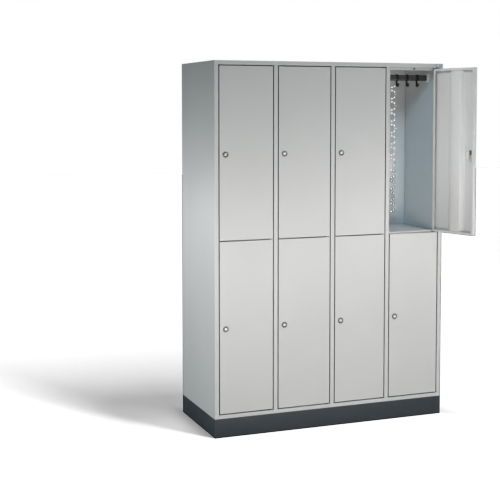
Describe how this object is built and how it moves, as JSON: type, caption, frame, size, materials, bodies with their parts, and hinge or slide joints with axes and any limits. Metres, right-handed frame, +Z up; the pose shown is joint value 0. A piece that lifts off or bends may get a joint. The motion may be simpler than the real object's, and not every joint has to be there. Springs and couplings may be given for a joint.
{
  "type": "locker cabinet",
  "caption": "Two-tier steel locker cabinet with inset hinged doors, turning cam locks, coat rails and a perforated back, on a plinth.",
  "frame": {"origin": "on the floor, under the middle of the cabinet's footprint, on the underside of the plinth's centre brace", "axes": "+X to the right along the front, +Y from the front to the back, +Z up"},
  "size_m": [1.2667, 0.7472, 1.785],
  "materials": {
    "body_paint": "fine satin powder coat, light grey",
    "door_paint": "fine satin powder coat, light grey",
    "plinth_paint": "satin powder coat, black grey",
    "lock_chrome": "bright nickel plate",
    "core_steel": "fine brushed",
    "rail_paint": "dark grey-brown lacquer",
    "bracket_plastic": "matt light grey",
    "hook_plastic": "black, low gloss",
    "pin_steel": "turned",
    "bush_nylon": "black nylon",
    "buffer_rubber": "black, matt",
    "plug_steel": "bright"
  },
  "bodies": {
    "carcass": {"plinth": "plinth_paint", "floor": "body_paint", "roof": "body_paint", "front_frame": "body_paint", "side_left": "body_paint", "side_right": "body_paint", "partition_1": "body_paint", "partition_2": "body_paint", "partition_3": "body_paint", "shelf_1": "body_paint", "shelf_2": "body_paint", "shelf_3": "body_paint", "shelf_4": "body_paint", "back_panel_1": "body_paint", "back_panel_2": "body_paint", "back_panel_3": "body_paint", "back_panel_4": "body_paint", "rear_ties": "body_paint", "hinge_pins": "pin_steel", "hinge_bushes": "bush_nylon", "coat_rails": "rail_paint", "rail_brackets": "bracket_plastic", "coat_hooks_behind_doors": "hook_plastic", "door_buffers": "buffer_rubber", "frame_plug": "plug_steel"},
    "door_lower_1": {"door_panel_lower_1": "door_paint", "door_stiffener_lower_1": "door_paint", "lock_housing_lower_1": "lock_chrome"},
    "lock_lower_1": {"lock_core_lower_1": "core_steel"},
    "door_lower_2": {"door_panel_lower_2": "door_paint", "door_stiffener_lower_2": "door_paint", "lock_housing_lower_2": "lock_chrome"},
    "lock_lower_2": {"lock_core_lower_2": "core_steel"},
    "door_lower_3": {"door_panel_lower_3": "door_paint", "door_stiffener_lower_3": "door_paint", "lock_housing_lower_3": "lock_chrome"},
    "lock_lower_3": {"lock_core_lower_3": "core_steel"},
    "door_lower_4": {"door_panel_lower_4": "door_paint", "door_stiffener_lower_4": "door_paint", "lock_housing_lower_4": "lock_chrome"},
    "lock_lower_4": {"lock_core_lower_4": "core_steel"},
    "door_upper_1": {"door_panel_upper_1": "door_paint", "door_stiffener_upper_1": "door_paint", "lock_housing_upper_1": "lock_chrome"},
    "lock_upper_1": {"lock_core_upper_1": "core_steel"},
    "door_upper_2": {"door_panel_upper_2": "door_paint", "door_stiffener_upper_2": "door_paint", "lock_housing_upper_2": "lock_chrome"},
    "lock_upper_2": {"lock_core_upper_2": "core_steel"},
    "door_upper_3": {"door_panel_upper_3": "door_paint", "door_stiffener_upper_3": "door_paint", "lock_housing_upper_3": "lock_chrome"},
    "lock_upper_3": {"lock_core_upper_3": "core_steel"},
    "door_upper_4": {"door_panel_upper_4": "door_paint", "door_stiffener_upper_4": "door_paint", "lock_housing_upper_4": "lock_chrome"},
    "lock_upper_4": {"lock_core_upper_4": "core_steel"},
    "coat_hook_1": {"coat_hook_1": "hook_plastic"},
    "coat_hook_2": {"coat_hook_2": "hook_plastic"},
    "coat_hook_3": {"coat_hook_3": "hook_plastic"}
  },
  "joints": [
    {"name": "door_hinge_lower_1", "type": "hinge", "parent": "carcass", "child": "door_lower_1", "pos_m": [-0.323, -0.242, 0.5235], "axis": [0, 0, 1], "range_deg": [0, 110]},
    {"name": "lock_turn_lower_1", "type": "hinge", "parent": "door_lower_1", "child": "lock_lower_1", "pos_m": [-0.555, -0.242, 0.5185], "axis": [0, 1, 0], "range_deg": [0, 90]},
    {"name": "door_hinge_lower_2", "type": "hinge", "parent": "carcass", "child": "door_lower_2", "pos_m": [-0.023, -0.242, 0.5235], "axis": [0, 0, 1], "range_deg": [0, 110]},
    {"name": "lock_turn_lower_2", "type": "hinge", "parent": "door_lower_2", "child": "lock_lower_2", "pos_m": [-0.255, -0.242, 0.5185], "axis": [0, 1, 0], "range_deg": [0, 90]},
    {"name": "door_hinge_lower_3", "type": "hinge", "parent": "carcass", "child": "door_lower_3", "pos_m": [0.277, -0.242, 0.5235], "axis": [0, 0, 1], "range_deg": [0, 110]},
    {"name": "lock_turn_lower_3", "type": "hinge", "parent": "door_lower_3", "child": "lock_lower_3", "pos_m": [0.045, -0.242, 0.5185], "axis": [0, 1, 0], "range_deg": [0, 90]},
    {"name": "door_hinge_lower_4", "type": "hinge", "parent": "carcass", "child": "door_lower_4", "pos_m": [0.577, -0.242, 0.5235], "axis": [0, 0, 1], "range_deg": [0, 110]},
    {"name": "lock_turn_lower_4", "type": "hinge", "parent": "door_lower_4", "child": "lock_lower_4", "pos_m": [0.345, -0.242, 0.5185], "axis": [0, 1, 0], "range_deg": [0, 90]},
    {"name": "door_hinge_upper_1", "type": "hinge", "parent": "carcass", "child": "door_upper_1", "pos_m": [-0.323, -0.242, 1.3495], "axis": [0, 0, 1], "range_deg": [0, 110]},
    {"name": "lock_turn_upper_1", "type": "hinge", "parent": "door_upper_1", "child": "lock_upper_1", "pos_m": [-0.555, -0.242, 1.3445], "axis": [0, 1, 0], "range_deg": [0, 90]},
    {"name": "door_hinge_upper_2", "type": "hinge", "parent": "carcass", "child": "door_upper_2", "pos_m": [-0.023, -0.242, 1.3495], "axis": [0, 0, 1], "range_deg": [0, 110]},
    {"name": "lock_turn_upper_2", "type": "hinge", "parent": "door_upper_2", "child": "lock_upper_2", "pos_m": [-0.255, -0.242, 1.3445], "axis": [0, 1, 0], "range_deg": [0, 90]},
    {"name": "door_hinge_upper_3", "type": "hinge", "parent": "carcass", "child": "door_upper_3", "pos_m": [0.277, -0.242, 1.3495], "axis": [0, 0, 1], "range_deg": [0, 110]},
    {"name": "lock_turn_upper_3", "type": "hinge", "parent": "door_upper_3", "child": "lock_upper_3", "pos_m": [0.045, -0.242, 1.3445], "axis": [0, 1, 0], "range_deg": [0, 90]},
    {"name": "door_hinge_upper_4", "type": "hinge", "parent": "carcass", "child": "door_upper_4", "pos_m": [0.577, -0.242, 1.3495], "axis": [0, 0, 1], "range_deg": [-106, 4]},
    {"name": "lock_turn_upper_4", "type": "hinge", "parent": "door_upper_4", "child": "lock_upper_4", "pos_m": [0.64095, -0.46501, 1.3445], "axis": [-0.9613, -0.2756, 0], "range_deg": [0, 90]},
    {"name": "hook_slide_1", "type": "slide", "parent": "carcass", "child": "coat_hook_1", "axis": [1, 0, 0], "range_m": [-0.02, 0.02]},
    {"name": "hook_slide_2", "type": "slide", "parent": "carcass", "child": "coat_hook_2", "axis": [1, 0, 0], "range_m": [-0.02, 0.02]},
    {"name": "hook_slide_3", "type": "slide", "parent": "carcass", "child": "coat_hook_3", "axis": [1, 0, 0], "range_m": [-0.02, 0.02]}
  ]
}
